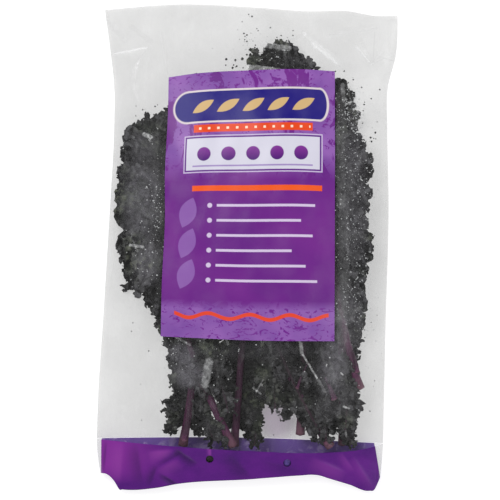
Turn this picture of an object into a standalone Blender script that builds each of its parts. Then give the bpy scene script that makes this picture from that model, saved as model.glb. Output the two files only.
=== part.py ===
"""Purple curly kale: eight cut leaves in their clear bag, lying on its back.

X runs across the bag, Y along it towards its open mouth, and Z up from the surface that it lies on.
The leaves lie in three layers between the two sheets of film, with their cut stems at the bag's closed end.
"""

import math

import bmesh
import bpy
import numpy as np

# The bag, in metres
THICKNESS = 0.049  # of the filled bag, over what the empty film takes
FILM = 0.0006  # a sturdy stand-in for thin film
LIPS = 0.0032  # between the outer faces of the two sheets where the bag is empty
SIDE_RISE = 0.30  # height of the side folds, as a share of the local thickness
FLAT_SHARE = 0.6  # of the half width, where the back sheet lies flat
FOLD_SHARE = 0.025  # of the half width, where the two sheets turn into each other at a side fold
MOUTH_RISE = 0.002  # the empty end bends up a little
MOUTH_BEND = (0.16, 0.05)  # where that bend starts, and how long it is
GUSSET_DEPTH = 0.016  # the fold that is tucked into the bottom end
SPLIT_GAP = 0.0003  # between the clear film and the purple film
HALF_COLUMNS = 14  # round each sheet
FILM_ROWS = 17
ROW_CROWDING = 1.15  # rows stand closer together towards the mouth
BAND_ROWS = 4

# Outline of the bag from its mouth to its bottom end: distance along Y, then left and right edge
EDGES = [
    (-0.208, -0.1240, 0.1140),
    (-0.175, -0.1290, 0.1170),
    (-0.131, -0.1285, 0.1180),
    (-0.060, -0.1240, 0.1195),
    (0.037, -0.1180, 0.1220),
    (0.105, -0.1145, 0.1210),
    (0.140, -0.1145, 0.1215),
    (0.168, -0.1175, 0.1285),
    (0.208, -0.1230, 0.1305),
]
# Share of the full thickness along Y
FULLNESS = [
    (-0.208, 0.18),
    (-0.185, 0.38),
    (-0.165, 0.60),
    (-0.120, 0.87),
    (-0.050, 0.99),
    (0.030, 1.00),
    (0.100, 0.90),
    (0.150, 0.64),
    (0.182, 0.34),
    (0.205, 0.04),
    (0.214, 0.00),
]
# Lines across the bag, from its left fold (-1) to its right fold (1), as distances along Y
MOUTH = [
    (-1, 0.2075),
    (-0.45, 0.2115),
    (0.05, 0.2085),
    (0.4, 0.2055),
    (0.65, 0.2060),
    (0.85, 0.2020),
    (1, 0.2025),
]
BAND_FRONT = [(-1, -0.1625), (-0.5, -0.1680), (0.0, -0.1720), (0.6, -0.1740), (0.85, -0.1715), (1, -0.1670)]
BAND_BACK = [(-1, -0.1625), (0, -0.1622), (1, -0.1670)]
BOTTOM = [
    (-1, -0.1925),
    (-0.93, -0.2000),
    (-0.86, -0.2070),
    (-0.45, -0.2015),
    (0.0, -0.1990),
    (0.5, -0.1935),
    (0.75, -0.1995),
    (0.93, -0.2075),
    (1, -0.1970),
]
VENT_RADIUS = 0.0033
VENTS = [(-0.032, -0.1795), (0.0345, -0.1830)]
VENT_REACH = (0.014, 0.040)  # the cutters pass through the front sheet only
VENT_SIDES = 12

# The printed panel on the front sheet
PANEL_CORNERS = [(-0.0736, -0.0746), (0.0746, -0.0789), (-0.0670, 0.1490), (0.0753, 0.1543)]
PANEL_THICKNESS = 0.0004
PANEL_GAP = 0.0004
PANEL_COLUMNS = 10
PANEL_ROWS = 12

# The leaves
CLEAR_BACK = 0.0014  # between the leaves and the film
CLEAR_FRONT = 0.0024
SIDE_LIMIT = 0.95  # of the bag's half width, which the leaves keep inside
BLADE = 0.0008
RIB_GAP = 0.0008  # between a blade and the midrib that carries it
RUFFLE = 0.13  # height of the frill at the margin, as a share of the local room
RUFFLE_POWER = 1.5  # how late the frill grows between the midrib and the margin
RUFFLES = 9  # waves along each side
STEPS_PER_RUFFLE = 4  # a crest, a notch, a trough and a notch
HALF_BLADE_COLUMNS = RUFFLES * STEPS_PER_RUFFLE
CRESTS = (0.7, 1.0)  # uneven heights of the waves
TEETH = (0.96, 1.03)  # uneven reach of the margin
NOTCHES = (0.08, 0.24)  # how far the margin is cut back between two folds
# Uneven widths of the ruffles: shift along the side, number along a side, shift from leaf to leaf
CROWDING = [(0.016, 3, 1.3), (0.006, 7, 2.9)]
BLADE_ROWS = [0.0, 0.16, 0.42, 0.71, 1.0]  # from the midrib to the margin
BASE_ANGLE = 132  # degrees between the midrib and the lowest side veins
VEIN_POWER = 5  # the side veins turn towards the tip late
FOOT_POWER = 1.3  # the side veins leave the midrib closer together towards the tip
TIP_RADIUS = 0.80  # of the half width
# Half width of a blade from its foot (0) to its tip (1), as a share of the greatest
BLADE_FORM = [(0, 0.66), (0.12, 0.76), (0.3, 0.90), (0.5, 1.0), (0.75, 0.97), (1, TIP_RADIUS)]
# Lobes of the margin: height as a share of the width, number along a side, shift from leaf to leaf
LOBES = [(0.07, 3.3, 1.0), (0.06, 5.7, 2.1)]
STEM_RADII = [(0.0, 0.0042), (0.05, 0.0036), (0.3, 0.0030), (0.7, 0.0017), (1.0, 0.0009)]
STEM_POINTS = 15
STEM_BEVEL = 2  # gives it eight sides
EASED_BY = 0.7  # of the bare stem: past this it runs beside the blade
# Level of each layer of leaves, as a share of the local room
LAYERS = {"back": 0.16, "middle": 0.50, "front": 0.84}

# Each leaf: layer, cut end, tip, sideways bow, half width, share of the length that is bare stem
LEAVES = [
    ("front", (-0.0121, -0.1681), (-0.0767, 0.1215), -0.020, 0.0410, 0.33),
    ("front", (0.0715, -0.1690), (-0.0026, 0.0733), -0.019, 0.0230, 0.06),
    ("front", (0.0965, -0.1190), (0.0776, 0.1138), -0.013, 0.0435, 0.27),
    ("middle", (-0.0552, -0.1681), (-0.0457, 0.1560), 0.012, 0.0350, 0.06),
    ("middle", (0.0457, -0.1586), (0.0259, 0.1827), 0.010, 0.0430, 0.07),
    ("back", (-0.0509, -0.0948), (-0.0940, 0.0862), -0.009, 0.0340, 0.16),
    ("back", (-0.0112, -0.1690), (0.0129, 0.1336), 0.000, 0.0370, 0.06),
    ("back", (0.0828, -0.1681), (0.0767, 0.1500), 0.000, 0.0260, 0.06),
]

# Colour, roughness and metallic value of each material
FINISHES = {
    "clear_film": ((0.86, 0.87, 0.86, 0.3), 0.25, 0.0),
    "purple_film": ((0.16, 0.02, 0.26, 1.0), 0.35, 0.0),
    "panel_print": ((0.22, 0.05, 0.34, 1.0), 0.35, 0.0),
    "kale_blade": ((0.030, 0.040, 0.028, 1.0), 0.60, 0.0),
    "kale_stem": ((0.17, 0.045, 0.10, 1.0), 0.50, 0.0),
}


def through(stations, place):
    """Value of a smooth curve that passes through a few (place, value) stations."""
    places, values = np.array(stations, float).T
    slopes = np.gradient(values, places)
    place = np.clip(place, places[0], places[-1])
    i = np.clip(np.searchsorted(places, place) - 1, 0, len(places) - 2)
    step = places[i + 1] - places[i]
    u = (place - places[i]) / step
    start = (1 + 2 * u) * (1 - u) ** 2 * values[i] + u * (1 - u) ** 2 * step * slopes[i]
    end = u**2 * (3 - 2 * u) * values[i + 1] - u**2 * (1 - u) * step * slopes[i + 1]
    return start + end


def edges_at(y):
    """The bag's left and right edge at a distance along it."""
    left = through([(s[0], s[1]) for s in EDGES], y)
    right = through([(s[0], s[2]) for s in EDGES], y)
    return left, right


def across(x, y):
    """Where x lies across the bag at y: -1 at its left fold, 1 at its right fold."""
    left, right = edges_at(y)
    return (2 * x - left - right) / (right - left)


def back_height(t, y):
    """Height of the back sheet's outer face: flat in the middle, rising in a round fold to each side."""
    rise = SIDE_RISE * (THICKNESS * through(FULLNESS, y) + LIPS)
    u = np.clip((np.abs(t) - FLAT_SHARE) / (1 - FLAT_SHARE), 0, 1)
    start, length = MOUTH_BEND
    mouth = np.clip((y - start) / length, 0, 1)
    return rise * (1 - np.sqrt(1 - u**2)) + MOUTH_RISE * mouth**2


def gap_height(t, y):
    """Distance between the two sheets' outer faces."""
    t = np.clip(np.abs(t), 0, 1)
    fold = np.sqrt(np.clip((1 - t) / FOLD_SHARE, 0, 1))
    return LIPS * fold + THICKNESS * through(FULLNESS, y) * np.sqrt(1 - t**3)


def front_height(t, y):
    """Height of the front sheet's outer face."""
    return back_height(t, y) + gap_height(t, y)


def room(x, y):
    """Lowest and highest level that the leaves may take inside the bag."""
    t = across(x, y)
    low = back_height(t, y) + FILM + CLEAR_BACK
    high = front_height(t, y) - FILM - CLEAR_FRONT
    return low, np.maximum(high, low)


def material(name):
    colour, roughness, metallic = FINISHES[name]
    found = bpy.data.materials.get(name)
    if found:
        return found
    made = bpy.data.materials.new(name)
    made.use_nodes = True
    shader = made.node_tree.nodes["Principled BSDF"]
    shader.inputs["Base Color"].default_value = (*colour[:3], 1.0)
    shader.inputs["Roughness"].default_value = roughness
    shader.inputs["Metallic"].default_value = metallic
    shader.inputs["Alpha"].default_value = colour[3]
    made.diffuse_color = colour
    return made


def new_object(name, points, faces, finish, collection):
    """A mesh object from points and faces, with its own material."""
    mesh = bpy.data.meshes.new(name)
    mesh.from_pydata([tuple(p) for p in points], [], faces)
    mesh.validate()
    made = bpy.data.objects.new(name, mesh)
    made.data.materials.append(material(finish))
    collection.objects.link(made)
    return made


def thicken(piece, thickness, offset):
    """Gives an open surface its wall: against its normals (-1), both ways (0) or along them (1)."""
    wall = piece.modifiers.new("wall", "SOLIDIFY")
    wall.thickness = thickness
    wall.offset = offset


def ring(y_front, y_back):
    """One closed loop round the bag: over the front sheet to the right, then back under it."""
    t = -np.cos(np.linspace(0, math.pi, HALF_COLUMNS + 1))
    t_loop = np.concatenate([t, t[-2:0:-1]])
    y_loop = np.concatenate([y_front(t), y_back(t[-2:0:-1])])
    left, right = edges_at(y_loop)
    x = (left + right) / 2 + t_loop * (right - left) / 2
    z = back_height(t_loop, y_loop)
    z[: len(t)] = front_height(t, y_loop[: len(t)])
    return np.stack([x, y_loop, z], axis=1)


def loft(rings):
    """Triangles between each loop and the next one, facing out of the bag."""
    count = len(rings[0])
    faces = []
    for row in range(len(rings) - 1):
        for column in range(count):
            after = (column + 1) % count
            a, b = row * count + column, row * count + after
            c, d = a + count, b + count
            faces += [(a, b, d), (a, d, c)]
    return faces


def tube_rows(start_front, start_back, end_front, end_back, shares):
    """Loops from one line across the bag to another."""
    return [
        ring(
            lambda t, s=s: start_front(t) * (1 - s) + end_front(t) * s,
            lambda t, s=s: start_back(t) * (1 - s) + end_back(t) * s,
        )
        for s in shares
    ]


def line(stations, shift=0.0):
    """A line across the bag: its distance along Y for any place between the two folds."""
    return lambda t: through(stations, t) + shift


def clear_film(collection):
    """The bag's clear tube of film, open at the mouth and down to the purple film."""
    shares = 1 - (1 - np.linspace(0, 1, FILM_ROWS + 1)) ** ROW_CROWDING
    mouth = line(MOUTH)
    foot_front = line(BAND_FRONT, SPLIT_GAP)
    foot_back = line(BAND_BACK, SPLIT_GAP)
    rings = tube_rows(foot_front, foot_back, mouth, mouth, shares)
    points = np.concatenate(rings)
    piece = new_object("bag_clear_film", points, loft(rings), "clear_film", collection)
    thicken(piece, FILM, -1)
    return piece


def purple_film(collection, cutters):
    """The purple bottom end: the same tube, closed by a fold that is tucked up between the two sheets."""
    bottom = line(BOTTOM)
    shares = np.linspace(0, 1, BAND_ROWS + 1)
    rings = tube_rows(bottom, bottom, line(BAND_FRONT), line(BAND_BACK), shares)
    points = list(np.concatenate(rings))
    faces = loft(rings)
    last = HALF_COLUMNS
    count = 2 * HALF_COLUMNS
    tuck = [0]
    for column in range(1, last):
        front, back = rings[0][column], rings[0][count - column]
        t = -math.cos(math.pi * column / last)
        fold = (front + back) / 2
        fold[1] += GUSSET_DEPTH * (1 - t**6)
        tuck.append(len(points))
        points.append(fold)
    tuck.append(last)
    for column in range(last):
        f0, f1 = column, column + 1
        b0, b1 = (count - column) % count, count - column - 1
        m0, m1 = tuck[column], tuck[column + 1]
        for face in ((f1, f0, m0), (f1, m0, m1), (m1, m0, b0), (m1, b0, b1)):
            if len(set(face)) == 3:
                faces.append(face)
    piece = new_object("bag_purple_end", points, faces, "purple_film", collection)
    thicken(piece, FILM, -1)
    low, high = VENT_REACH
    for number, (x, y) in enumerate(VENTS, 1):
        bpy.ops.mesh.primitive_cylinder_add(
            vertices=VENT_SIDES,
            radius=VENT_RADIUS,
            depth=high - low,
            location=(x, y, (low + high) / 2),
        )
        cutter = bpy.context.object
        cutter.name = f"vent_cutter_{number}"
        cutter.hide_render = True
        cutter.display_type = "WIRE"
        for holder in cutter.users_collection:
            holder.objects.unlink(cutter)
        cutters.objects.link(cutter)
        cut = piece.modifiers.new(f"vent_{number}", "BOOLEAN")
        cut.operation = "DIFFERENCE"
        cut.object = cutter
    return piece


def printed_panel(collection):
    """The printed panel, a thin skin over the front sheet."""
    low_left, low_right, top_left, top_right = (np.array(corner) for corner in PANEL_CORNERS)
    grid = bmesh.new()
    bmesh.ops.create_grid(grid, x_segments=PANEL_COLUMNS, y_segments=PANEL_ROWS, size=0.5)
    for vertex in grid.verts:
        u, v = vertex.co.x + 0.5, vertex.co.y + 0.5
        low = low_left * (1 - u) + low_right * u
        top = top_left * (1 - u) + top_right * u
        x, y = low * (1 - v) + top * v
        vertex.co = (x, y, front_height(across(x, y), y) + PANEL_GAP)
    bmesh.ops.triangulate(grid, faces=grid.faces, quad_method="FIXED")
    piece = new_object("printed_panel", [], [], "panel_print", collection)
    grid.to_mesh(piece.data)
    grid.free()
    thicken(piece, PANEL_THICKNESS, 1)
    return piece


def spine(leaf, share):
    """Plan of a leaf's midrib: its point and its direction at a share of the length from the cut end."""
    _, cut, tip, bow, _, _ = leaf
    cut, tip = np.array(cut), np.array(tip)
    share = np.asarray(share, float)[..., None]
    run = tip - cut
    side = np.array([-run[1], run[0]]) / np.hypot(*run)
    point = cut + run * share - side * bow * 4 * share * (1 - share)
    ahead = run - side * bow * 4 * (1 - 2 * share)
    return point, ahead / np.linalg.norm(ahead, axis=-1, keepdims=True)


def rib_end(leaf):
    """Share of the leaf's length at which the midrib ends, short of the blade's rounded tip."""
    _, cut, tip, _, half_width, _ = leaf
    return 1 - TIP_RADIUS * half_width / math.dist(cut, tip)


def margin(leaf, number, q, side):
    """Distance from the midrib to the margin, wide in the middle and cut into uneven lobes."""
    lobes = 0
    for height, count, shift in LOBES:
        lobes = lobes + height * np.sin(2 * math.pi * count * q + shift * number + side)
    return leaf[4] * through(BLADE_FORM, q) * (1 + lobes)


def blade_level(leaf, x, y):
    """Height of the leaf's own layer at a point of the plan, and the room there."""
    low, high = room(x, y)
    return low + LAYERS[leaf[0]] * (high - low), high - low


def blade(leaf, number, collection):
    """A frilled blade: side veins fan out from the midrib, and the sheet waves more towards its margin."""
    bare = leaf[5]
    end = rib_end(leaf)
    steps = np.arange(-HALF_BLADE_COLUMNS, HALF_BLADE_COLUMNS + 1)
    side = np.sign(steps)
    q = 1 - np.abs(steps) / HALF_BLADE_COLUMNS
    for height, count, shift in CROWDING:
        q = q + 4 * height * q * (1 - q) * np.sin(2 * math.pi * count * q + shift * number + side)
    foot, ahead = spine(leaf, bare + (end - bare) * (1 - (1 - q) ** FOOT_POWER))
    right = np.stack([ahead[:, 1], -ahead[:, 0]], axis=1)
    angle = np.radians(BASE_ANGLE) * (1 - q**VEIN_POWER)
    vein = ahead * np.cos(angle)[:, None] + right * (side * np.sin(angle))[:, None]
    uneven = np.random.default_rng(number)
    wave = np.sin(2 * math.pi * steps / STEPS_PER_RUFFLE) * uneven.uniform(*CRESTS, len(steps))
    notch = uneven.uniform(*NOTCHES, len(steps)) * (1 - np.abs(wave))
    reach = margin(leaf, number, q, side) * (1 - notch) * uneven.uniform(*TEETH, len(steps))
    points = []
    for r in BLADE_ROWS:
        plan = foot + vein * (reach * r)[:, None]
        left_fold, right_fold = edges_at(plan[:, 1])
        middle = (left_fold + right_fold) / 2
        limit = SIDE_LIMIT * (right_fold - left_fold) / 2
        x = middle + np.clip(plan[:, 0] - middle, -limit, limit)
        level, space = blade_level(leaf, x, plan[:, 1])
        z = level + space * RUFFLE * r**RUFFLE_POWER * wave
        points.append(np.stack([x, plan[:, 1], z], axis=1))
    columns = len(steps)
    points = np.concatenate(points)
    # The two halves of the midrib row are one line, so its right half takes the left half's points.
    home = np.arange(len(points))
    home[HALF_BLADE_COLUMNS + 1 : columns] = np.arange(HALF_BLADE_COLUMNS - 1, -1, -1)
    faces = []
    for row in range(len(BLADE_ROWS) - 1):
        for column in range(columns - 1):
            a = row * columns + column
            b, c, d = a + 1, a + columns, a + columns + 1
            # Beside the midrib each half has its own diagonal, so that no triangle is made twice at its end.
            rising = column >= HALF_BLADE_COLUMNS if row == 0 else (row + column) % 2
            split = ((a, c, d), (a, d, b)) if rising else ((a, c, b), (b, c, d))
            faces += [tuple(int(home[i]) for i in face) for face in split]
    used = sorted({i for face in faces for i in face})
    place = {old: new for new, old in enumerate(used)}
    faces = [tuple(place[i] for i in face) for face in faces]
    piece = new_object(f"leaf_{number}_blade", points[used], faces, "kale_blade", collection)
    thicken(piece, BLADE, 0)
    return piece


def stem(leaf, number, collection):
    """The purple stem, which runs on as the midrib against one face of its blade."""
    end = rib_end(leaf)
    share = np.linspace(0, end, STEM_POINTS)
    plan, _ = spine(leaf, share)
    radius = through(STEM_RADII, share / end)
    level, _ = blade_level(leaf, plan[:, 0], plan[:, 1])
    # Bare at first, it eases to the blade's underside, or to its upper side on a leaf that lies face down.
    eased = np.clip(share / (EASED_BY * leaf[5]), 0, 1) ** 2
    face = 1 if leaf[0] == "back" else -1
    level = level + face * eased * (radius + BLADE / 2 + RIB_GAP)
    data = bpy.data.curves.new(f"leaf_{number}_stem", "CURVE")
    data.dimensions = "3D"
    data.bevel_depth = 1.0
    data.bevel_resolution = STEM_BEVEL
    data.use_fill_caps = True
    path = data.splines.new("POLY")
    path.points.add(STEM_POINTS - 1)
    for point, (x, y), z, r in zip(path.points, plan, level, radius):
        point.co = (x, y, z, 1)
        point.radius = r
    data.materials.append(material("kale_stem"))
    made = bpy.data.objects.new(f"leaf_{number}_stem", data)
    collection.objects.link(made)
    return made


def main():
    for old in list(bpy.data.objects):
        bpy.data.objects.remove(old)
    kale = bpy.data.collections.new("purple_kale_bunch")
    cutters = bpy.data.collections.new("cutters")
    for holder in (kale, cutters):
        bpy.context.scene.collection.children.link(holder)
    clear_film(kale)
    purple_film(kale, cutters)
    printed_panel(kale)
    for number, leaf in enumerate(LEAVES, 1):
        blade(leaf, number, kale)
        stem(leaf, number, kale)


main()
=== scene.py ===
import math

import bmesh
import bpy
import numpy as np
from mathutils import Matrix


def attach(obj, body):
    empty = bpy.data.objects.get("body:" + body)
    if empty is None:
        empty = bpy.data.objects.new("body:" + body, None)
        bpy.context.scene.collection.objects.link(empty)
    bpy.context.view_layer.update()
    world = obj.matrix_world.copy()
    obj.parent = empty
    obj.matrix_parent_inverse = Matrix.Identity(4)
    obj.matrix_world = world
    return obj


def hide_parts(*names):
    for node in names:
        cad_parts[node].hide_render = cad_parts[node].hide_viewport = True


# Purple kale in its clear bag, seen from straight above. Everything is in metres: +Y runs towards the
# open mouth and +Z up through the printed front.
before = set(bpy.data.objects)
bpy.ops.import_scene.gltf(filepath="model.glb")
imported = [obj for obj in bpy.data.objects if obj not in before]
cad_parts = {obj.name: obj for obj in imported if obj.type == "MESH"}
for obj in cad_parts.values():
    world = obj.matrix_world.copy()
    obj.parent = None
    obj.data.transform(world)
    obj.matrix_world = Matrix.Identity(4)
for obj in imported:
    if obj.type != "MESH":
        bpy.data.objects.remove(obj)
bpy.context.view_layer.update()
print("frame loaded,", len(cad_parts), "nodes")

# The photograph's frame: its size, the pixel over the origin, and the level at which a pixel has its size
photo = {"size": 500, "origin": (247, 250), "pixel": 0.000862, "level": 0.012, "cameraHeight": 3.0}
cameraX = (photo["size"] / 2 - photo["origin"][0]) * photo["pixel"]


def fromPhoto(px, py, level=photo["level"]):
    # Place under a pixel: its offset from the picture's centre, times the pixel's size at that level
    shrink = (photo["cameraHeight"] - level) / (photo["cameraHeight"] - photo["level"])
    x = cameraX + (px - photo["size"] / 2) * photo["pixel"] * shrink
    y = (photo["size"] / 2 - py) * photo["pixel"] * shrink
    return x, y


def addCamera():
    data = bpy.data.cameras.new("camera")
    data.sensor_width = 36
    distance = photo["cameraHeight"] - photo["level"]
    data.lens = data.sensor_width * distance / (photo["size"] * photo["pixel"])
    camera = bpy.data.objects.new("camera", data)
    camera.location = (cameraX, 0, photo["cameraHeight"])
    bpy.context.scene.collection.objects.link(camera)
    bpy.context.scene.camera = camera


def addLights():
    world = bpy.data.worlds.new("studio")
    world.use_nodes = True
    world.node_tree.nodes["Background"].inputs["Color"].default_value = (1, 1, 1, 1)
    world.node_tree.nodes["Background"].inputs["Strength"].default_value = 0.62
    bpy.context.scene.world = world
    lamps = {  # name: place, size, power; each lamp is aimed at the origin
        "softbox": ((-0.45, 0.65, 1.35), 0.8, 12.0),
        "fill": ((0.9, -0.5, 1.3), 0.9, 5.0),
    }
    for name, (place, size, power) in lamps.items():
        data = bpy.data.lights.new(name, "AREA")
        data.size = size
        data.energy = power
        lamp = bpy.data.objects.new(name, data)
        lamp.location = place
        away = np.array(place)
        tilt = math.acos(away[2] / np.linalg.norm(away))
        lamp.rotation_euler = (tilt, 0, math.atan2(away[1], away[0]) + math.pi / 2)
        bpy.context.scene.collection.objects.link(lamp)
    bpy.context.scene.view_settings.view_transform = "Standard"


millimetre = 0.001
insideLevel = 0.03  # about the middle of the bag, where pixels of leaves, drops and crumbs are placed


def rgb(red, green, blue):
    # Linear colour of a picture value, each part from 0 to 255
    parts = np.array([red, green, blue]) / 255
    parts = np.where(parts <= 0.04045, parts / 12.92, ((parts + 0.055) / 1.055) ** 2.4)
    return (*(float(p) for p in parts), 1.0)


class Value:
    # A socket that takes arithmetic: an expression on it adds Math nodes
    def __init__(self, look, socket):
        self.look = look
        self.socket = socket

    def maths(self, operation, *numbers):
        values = dict(enumerate(numbers))
        return self.look.node("ShaderNodeMath", {"operation": operation}, values)

    def __add__(self, other):
        return self.maths("ADD", self, other)

    def __radd__(self, other):
        return self.maths("ADD", other, self)

    def __sub__(self, other):
        return self.maths("SUBTRACT", self, other)

    def __rsub__(self, other):
        return self.maths("SUBTRACT", other, self)

    def __mul__(self, other):
        return self.maths("MULTIPLY", self, other)

    def __rmul__(self, other):
        return self.maths("MULTIPLY", other, self)

    def __truediv__(self, other):
        return self.maths("DIVIDE", self, other)

    def __pow__(self, other):
        return self.maths("POWER", self, other)

    def __abs__(self):
        return self.maths("ABSOLUTE", self)

    def above(self, other):
        return self.maths("MAXIMUM", self, other)

    def below(self, other):
        return self.maths("MINIMUM", self, other)

    def wave(self):
        return self.maths("SINE", self)

    def clamped(self):
        return self.below(1).above(0)

    def step(self, start, end):
        # 0 before start, 1 after end, straight between them
        return ((self - start) / (end - start)).clamped()


class Look:
    # One material: a Principled shader and the nodes that feed it
    def __init__(self, name):
        self.material = bpy.data.materials.new(name)
        self.material.use_nodes = True
        self.tree = self.material.node_tree
        self.shader = self.tree.nodes["Principled BSDF"]
        self.base = None  # the base colour so far

    def node(self, kind, settings=None, values=None, out=0):
        made = self.tree.nodes.new(kind)
        for name, setting in (settings or {}).items():
            setattr(made, name, setting)
        for name, value in (values or {}).items():
            self.join(value, made.inputs[name])
        return Value(self, made.outputs[out])

    def join(self, value, socket):
        if isinstance(value, Value):
            self.tree.links.new(value.socket, socket)
        else:
            socket.default_value = value

    def set(self, **values):
        # Sockets of the shader itself; an underscore stands for a space
        for name, value in values.items():
            self.join(value, self.shader.inputs[name.replace("_", " ")])

    def place(self):
        return self.node("ShaderNodeTexCoord", out="Object")

    def mark(self, name):
        return self.node("ShaderNodeAttribute", {"attribute_name": name}, out="Fac")

    def noise(self, size, detail=2.0, rough=0.5, warp=0.0, where=None, stretch=None):
        # Noise whose patches are about one size wide, in metres, or in the units of where
        where = where or self.place()
        if stretch:
            where = self.node("ShaderNodeMapping", {}, {"Vector": where, "Scale": stretch})
        values = {"Vector": where, "Scale": 1 / size, "Detail": detail, "Roughness": rough}
        return self.node("ShaderNodeTexNoise", {}, {**values, "Distortion": warp})

    def streak(self, px1, py1, px2, py2, wide):
        # 1 near the straight run between two pixels and 0 past its half width, by the distance to the run,
        # with a ragged edge and an uneven middle
        parts = self.node("ShaderNodeSeparateXYZ", {}, {0: self.place()})
        x1, y1 = fromPhoto(px1, py1, clearFilm["level"])
        x2, y2 = fromPhoto(px2, py2, clearFilm["level"])
        runX, runY = x2 - x1, y2 - y1
        length = math.hypot(runX, runY)
        x = parts - x1
        y = Value(self, parts.socket.node.outputs[1]) - y1
        past = abs((x * runX + y * runY) / length - length / 2) - length / 2
        off = (past.above(0) ** 2 + ((x * runY - y * runX) / length) ** 2) ** 0.5
        ragged = self.noise(0.0022, 3, 0.65)
        edge = (1.45 - off / wide - ragged * 0.9).step(0.0, 0.35)
        return edge * (0.45 + self.noise(0.0035, 2, 0.6).step(0.35, 0.65) * 0.55)

    def mix(self, share, first, second):
        return self.node("ShaderNodeMix", {"data_type": "RGBA"}, {0: share, 6: first, 7: second}, 2)

    def coat(self, share, colour):
        # Paints a colour over the base colour so far
        self.base = self.mix(share, self.base, colour)

    def bump(self, height, distance, strength=1.0):
        values = {"Height": height, "Distance": distance, "Strength": strength}
        self.set(Normal=self.node("ShaderNodeBump", {}, values))


def gridFaces(rows, columns, around=False):
    # Four-cornered faces between neighbours of a grid, row by row
    across = columns if around else columns - 1
    row, column = np.meshgrid(np.arange(rows - 1), np.arange(across), indexing="ij")
    a = row * columns + column
    b = row * columns + (column + 1) % columns
    return np.stack([a, b, b + columns, a + columns], axis=-1).reshape(-1, 4)


def newPiece(name, points, faces, look, nodes, marks=None, weld=0.0):
    # A finished piece from arrays: points, faces and values at the points, shaded smooth
    mesh = bpy.data.meshes.new(name)
    mesh.from_pydata(points.reshape(-1, 3), [], faces.tolist())
    for mark, values in (marks or {}).items():
        values = np.asarray(values, np.float32)
        if mark == "print":
            layer = mesh.uv_layers.new(name="print")
            corners = np.zeros(len(mesh.loops), np.int32)
            mesh.loops.foreach_get("vertex_index", corners)
            layer.data.foreach_set("uv", values.reshape(-1, 2)[corners].ravel())
        else:
            mesh.attributes.new(mark, "FLOAT", "POINT").data.foreach_set("value", values.ravel())
    if weld:
        work = bmesh.new()
        work.from_mesh(mesh)
        bmesh.ops.remove_doubles(work, verts=work.verts, dist=weld)
        bmesh.ops.dissolve_degenerate(work, edges=work.edges, dist=weld)
        work.to_mesh(mesh)
        work.free()
    mesh.polygons.foreach_set("use_smooth", np.ones(len(mesh.polygons), bool))
    mesh.materials.append(look.material)
    piece = bpy.data.objects.new(name, mesh)
    bpy.context.scene.collection.objects.link(piece)
    if nodes:
        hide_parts(*nodes)
    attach(piece, "root")
    return piece


def through(stations, place):
    # Smooth curve through (place, value) stations: cubic pieces whose slopes come from the neighbours
    places, values = np.array(stations, float).T
    slopes = np.gradient(values, places)
    place = np.clip(place, places[0], places[-1])
    i = np.clip(np.searchsorted(places, place) - 1, 0, len(places) - 2)
    step = places[i + 1] - places[i]
    u = (place - places[i]) / step
    start = (1 + 2 * u) * (1 - u) ** 2 * values[i] + u * (1 - u) ** 2 * step * slopes[i]
    end = u**2 * (3 - 2 * u) * values[i + 1] - u**2 * (1 - u) * step * slopes[i + 1]
    return start + end


def ripples(a, b, size, seed, count=10):
    # Sum of plane waves of about one length in random directions, mostly between -1 and 1
    draw = np.random.default_rng(seed)
    total = np.zeros(np.broadcast(a, b).shape)
    for turn, phase, stretch in draw.uniform((0, 0, 0.7), (2 * math.pi, 2 * math.pi, 1.5), (count, 3)):
        travel = a * math.cos(turn) + b * math.sin(turn)
        total = total + np.sin(2 * math.pi * travel / (size * stretch) + phase)
    return total / math.sqrt(count)


def normalsOf(grid):
    # Unit normals of a grid of points: the cross product of its two directions
    normal = np.cross(np.gradient(grid, axis=1), np.gradient(grid, axis=0))
    return normal / np.maximum(np.linalg.norm(normal, axis=-1, keepdims=True), 1e-12)


# The bag as its solids have it. Lines across it run from its left fold (-1) to its right fold (1).
bag = {
    "thickness": 0.049,
    "film": 0.0006,
    "lips": 0.0032,
    "sideRise": 0.30,
    "flatShare": 0.6,
    "foldShare": 0.025,
    "mouthRise": 0.002,
    "mouthBend": (0.16, 0.05),
    "edges": [
        (-0.208, -0.124, 0.114), (-0.175, -0.129, 0.117), (-0.131, -0.1285, 0.118), (-0.06, -0.124, 0.1195),
        (0.037, -0.118, 0.122), (0.105, -0.1145, 0.121), (0.14, -0.1145, 0.1215), (0.168, -0.1175, 0.1285),
        (0.208, -0.123, 0.1305),
    ],
    "fullness": [
        (-0.208, 0.18), (-0.185, 0.38), (-0.165, 0.6), (-0.12, 0.87), (-0.05, 0.99), (0.03, 1.0),
        (0.1, 0.9), (0.15, 0.64), (0.182, 0.34), (0.205, 0.04), (0.214, 0.0),
    ],
    "mouth": [
        (-1, 0.2075), (-0.45, 0.2115), (0.05, 0.2085), (0.4, 0.2055), (0.65, 0.206), (0.85, 0.202),
        (1, 0.2025),
    ],
    "bandFront": [(-1, -0.1625), (-0.5, -0.168), (0, -0.172), (0.6, -0.174), (0.85, -0.1715), (1, -0.167)],
    "bandBack": [(-1, -0.1625), (0, -0.1622), (1, -0.1670)],
    "gussetDepth": 0.016,
    "splitGap": 0.0003,
    "swells": [(0.0006, 0.7, 0.060, 3), (0.00025, 1, 0.022, 4)],  # height, pull along, size, seed
    "backSwell": (0.0004, 0.045, 5),  # height, size, seed
    "clearance": (0.0014, 0.0024),  # between the leaves and the back and front film
    "creaseSides": (1.5, 0.4),  # a crease's width to the right and left of its way
}
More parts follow.
